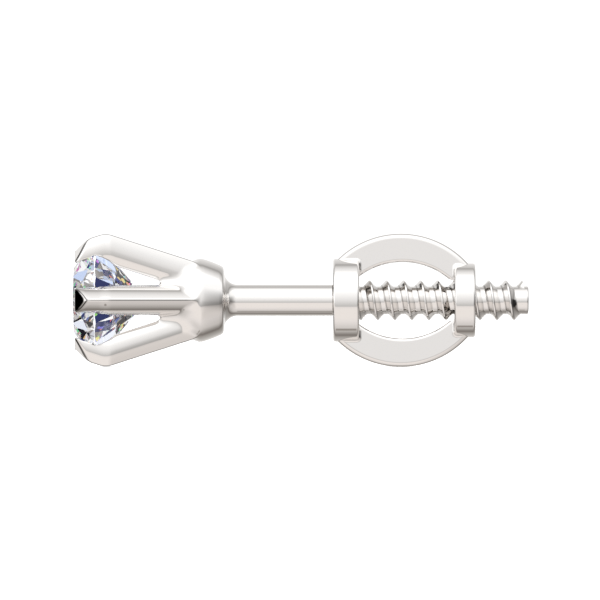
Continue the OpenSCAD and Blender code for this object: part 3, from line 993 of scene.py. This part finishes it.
# Brightness of the studio's walls by height, in degrees from the camera's side (0) over the top (90) to
# the back (180), and below the level as negative angles: how bright they show in polished metal.
STUDIO_WALLS = (
    (-180, (0.83, 0.82, 0.81)), (-160, (0.63, 0.61, 0.59)),
    (-143, (0.48, 0.46, 0.44)), (-126, (0.36, 0.34, 0.32)), (-121, (0.30, 0.28, 0.26)),
    (-117, (0.225, 0.205, 0.19)), (-113, (0.205, 0.185, 0.17)), (-107.5, (0.275, 0.255, 0.24)),
    (-102, (0.36, 0.34, 0.32)), (-95, (0.48, 0.455, 0.435)),
    (-89, (0.575, 0.545, 0.525)), (-80, (0.63, 0.60, 0.58)),
    (-62, (0.77, 0.73, 0.71)), (-50, (0.81, 0.765, 0.735)), (-25, (0.81, 0.765, 0.735)),
    (-19, (0.75, 0.71, 0.69)), (-17, (0.51, 0.50, 0.49)), (-9, (0.64, 0.63, 0.62)),
    (0, (0.77, 0.76, 0.755)), (14, (0.93, 0.925, 0.92)), (21, (1.0, 1.0, 1.0)),
    (42, (1.3, 1.3, 1.3)), (78, (1.3, 1.3, 1.3)), (90, (0.90, 0.895, 0.89)),
    (97, (0.80, 0.79, 0.785)), (107, (0.61, 0.60, 0.59)), (115, (0.40, 0.39, 0.38)),
    (118, (0.40, 0.39, 0.38)), (122, (0.54, 0.53, 0.52)), (130, (0.62, 0.61, 0.60)),
    (150, (0.72, 0.71, 0.70)), (180, (0.83, 0.82, 0.81)),
)
# Share of the light that the metal mirrors
METAL_SHARE = 0.845
# Patches before the walls, at the right end, the left end or both: where they stand round the horizon,
# counted backwards from the end, and how high, each as middle, half width and softness in degrees; then
# how much they cover, and how bright they show.
STUDIO_PATCHES = (
    ("right", (0, 66, 34), (0, 55, 40), 0.24, (0.03, 0.025, 0.02)),
    ("right", (0, 48, 40), (-2, 18, 36), 0.6, (0.03, 0.025, 0.02)),
    ("right", (0, 70, 20), (-10, 7, 10), 0.18, (0.03, 0.025, 0.02)),
    ("right", (0, 14, 8), (0, 12, 6), 0.95, (0.01, 0.01, 0.01)),
    ("left", (-12, 28, 20), (16, 22, 16), 1.0, (1.2, 1.2, 1.2)),
    ("left", (33, 17, 6), (0, 26, 6), 1.0, (0.0, 0.0, 0.0)),
    ("both", (0, 180, 1), (-90, 4, 3), 1.0, (0.29, 0.265, 0.245)),
)
# Strength of the light that is seen through the stone, and of the plain white that the camera sees
FIRE_LIGHT = 1.25
WHITE_LIGHT = 1.2


def studio_world(strength):
    """Soft light from walls that brighten and darken by height, with patches to the left and right. The
    stone shows cells of light and dark instead, and the camera itself sees plain white."""
    world = bpy.data.worlds.new("studio")
    bpy.context.scene.world = world
    tree = new_tree(world)

    def math(kind, *values):
        return reckon(tree, kind, *values)

    def within(value, middle, half, soft):
        """Goes from 1 inside a range of degrees to 0 outside it, over a soft edge."""
        inputs = {
            "Value": math("ABSOLUTE", math("SUBTRACT", value, radians(middle))),
            "From Min": radians(half + soft / 2), "From Max": radians(half - soft / 2),
        }
        return put(tree, "MapRange", inputs, interpolation_type="SMOOTHSTEP").outputs["Result"]

    def shine(tint, bright):
        return put(tree, "Background", {"Color": tint, "Strength": bright}).outputs[0]

    def either(kind, first, second):
        """The second light for rays of a kind, and the first for all others."""
        return put(tree, "MixShader", {"Fac": path[kind], 1: first, 2: second}).outputs[0]

    path = put(tree, "LightPath", {}).outputs
    place = put(tree, "TexCoord", {}).outputs["Generated"]
    x, y, z = put(tree, "SeparateXYZ", {0: place}).outputs
    height = math("ARCTAN2", z, math("MULTIPLY", y, -1))
    shown = METAL_SHARE * strength
    stops = [((degrees + 180) / 360, [min(c / shown, 1) for c in tint]) for degrees, tint in STUDIO_WALLS]
    light = ramp(tree, math("MULTIPLY_ADD", height, 1 / (2 * pi), 0.5), stops, "LINEAR")
    away = math("ARCTAN2", y, math("ABSOLUTE", x))
    rise = math("ARCSINE", z)
    right = math("GREATER_THAN", x, 0.0)
    ends = {"right": right, "left": math("SUBTRACT", 1.0, right), "both": 1.0}
    for end, around, upright, cover, tint in STUDIO_PATCHES:
        covers = math("MULTIPLY", within(away, *around), within(rise, *upright))
        covers = math("MULTIPLY", covers, ends[end])
        light = shaded(tree, math("MULTIPLY", covers, cover), light, opaque(tint, 1 / shown))
    sparkle = shine(glints(tree, place, FIRE_WIDE, 0), FIRE_LIGHT)
    through = either("Is Transmission Ray", shine(light, strength), sparkle)
    seen = either("Is Camera Ray", through, shine((1, 1, 1, 1), WHITE_LIGHT))
    put(tree, "OutputWorld", {"Surface": seen})


# Operators, one for each piece and one for the stage

class EARRING_OT_setting(bpy.types.Operator):
    """Build the setting with its post and thread"""

    bl_idname = "earring.setting"
    bl_label = "Setting and Post"

    def execute(self, context):
        scene = context.scene
        look = scene.earring_finish
        sizes = scene.earring_stone, scene.earring_prongs, scene.earring_cup, scene.earring_post
        gold = finish("white_gold_polish", polished_gold, look.gold, look.roughness)
        piece = setting_shell(*sizes).build("setting", gold)
        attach(piece, "stud")
        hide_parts("setting_post")
        return {"FINISHED"}


class EARRING_OT_stone(bpy.types.Operator):
    """Build the round brilliant"""

    bl_idname = "earring.stone"
    bl_label = "Stone"

    def execute(self, context):
        scene = context.scene
        glass = finish("brilliant_cut", cut_stone, scene.earring_finish.ior)
        girdle = finish("ground_girdle", ground_girdle)
        piece = stone_object(scene.earring_stone, "brilliant", glass, girdle)
        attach(piece, "stud")
        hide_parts("stone")
        return {"FINISHED"}


class EARRING_OT_nut(bpy.types.Operator):
    """Build the winged nut"""

    bl_idname = "earring.nut"
    bl_label = "Screw Nut"

    def execute(self, context):
        scene = context.scene
        look = scene.earring_finish
        gold = finish("nut_white_gold_polish", polished_gold, look.nut_gold, look.roughness)
        piece = nut_shell(scene.earring_nut).build("winged_nut", gold)
        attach(piece, "nut")
        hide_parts("screw_nut")
        return {"FINISHED"}


class EARRING_OT_stage(bpy.types.Operator):
    """Set the floor, the studio's light and the camera"""

    bl_idname = "earring.stage"
    bl_label = "Stage"

    def execute(self, context):
        scene = context.scene
        stage = scene.earring_stage
        shell = Shell()
        half = stage.floor_size / 2
        line = np.linspace(-half, half, 3)
        grid = shell.add(line[:, None] - TABLE_X, line[None] - AXIS_Y, -AXIS_Z)
        shell.quads(grid)
        floor = shell.build("floor", finish("floor_paper", plain_floor, stage.floor), sharp=None)
        floor.visible_glossy = False
        floor.visible_transmission = False
        lamp = bpy.data.lights.new("overhead", "SUN")
        lamp.energy = stage.overhead
        lamp.angle = radians(60)
        overhead = bpy.data.objects.new("overhead", lamp)
        scene.collection.objects.link(overhead)
        overhead.visible_glossy = False
        overhead.visible_transmission = False
        studio_world(stage.light)
        lens = bpy.data.cameras.new("camera")
        lens.sensor_width = 36
        lens.lens = lens.sensor_width * stage.distance / stage.frame_width
        lens.clip_start = 0.01
        lens.clip_end = 10
        camera = bpy.data.objects.new("camera", lens)
        scene.collection.objects.link(camera)
        pixel = stage.frame_width / stage.picture
        middle = (POST_LOW.x + POST_HIGH.x) / 2
        camera.location = (
            middle + (stage.picture / 2 - stage.middle_x) * pixel,
            AXIS_Y - stage.distance,
            AXIS_Z - (stage.picture / 2 - stage.axis_y) * pixel,
        )
        camera.rotation_euler = (pi / 2, 0, 0)
        scene.camera = camera
        scene.view_settings.view_transform = "Standard"
        scene.cycles.max_bounces = 24
        scene.cycles.glossy_bounces = 16
        scene.cycles.transmission_bounces = 20
        return {"FINISHED"}


class EARRING_PT_panel(bpy.types.Panel):
    """The earring's pieces, in the sidebar"""

    bl_idname = "EARRING_PT_panel"
    bl_label = "Screw-back Stud"
    bl_space_type = "VIEW_3D"
    bl_region_type = "UI"
    bl_category = "Earring"

    def draw(self, context):
        for operator in OPERATORS:
            self.layout.operator(operator.bl_idname)
        for name, (group, label) in GROUPS.items():
            box = self.layout.box()
            box.label(text=label)
            for field in group.__annotations__:
                box.prop(getattr(context.scene, name), field)


GROUPS = {
    "earring_stone": (StoneSizes, "Stone"),
    "earring_prongs": (ProngSizes, "Prongs"),
    "earring_cup": (CupSizes, "Cup"),
    "earring_post": (PostSizes, "Post"),
    "earring_nut": (NutSizes, "Nut"),
    "earring_finish": (FinishSettings, "Finish"),
    "earring_stage": (StageSettings, "Stage"),
}
OPERATORS = (EARRING_OT_stage, EARRING_OT_setting, EARRING_OT_stone, EARRING_OT_nut)


def register():
    for name, (group, label) in GROUPS.items():
        bpy.utils.register_class(group)
        setattr(bpy.types.Scene, name, PointerProperty(type=group, name=label))
    for cls in (*OPERATORS, EARRING_PT_panel):
        bpy.utils.register_class(cls)


def unregister():
    for cls in (EARRING_PT_panel, *reversed(OPERATORS)):
        bpy.utils.unregister_class(cls)
    for name, (group, _) in reversed(GROUPS.items()):
        delattr(bpy.types.Scene, name)
        bpy.utils.unregister_class(group)


def main():
    register()
    bpy.ops.earring.stage()
    bpy.ops.earring.setting()
    bpy.ops.earring.stone()
    bpy.ops.earring.nut()


if __name__ == "__main__":
    main()
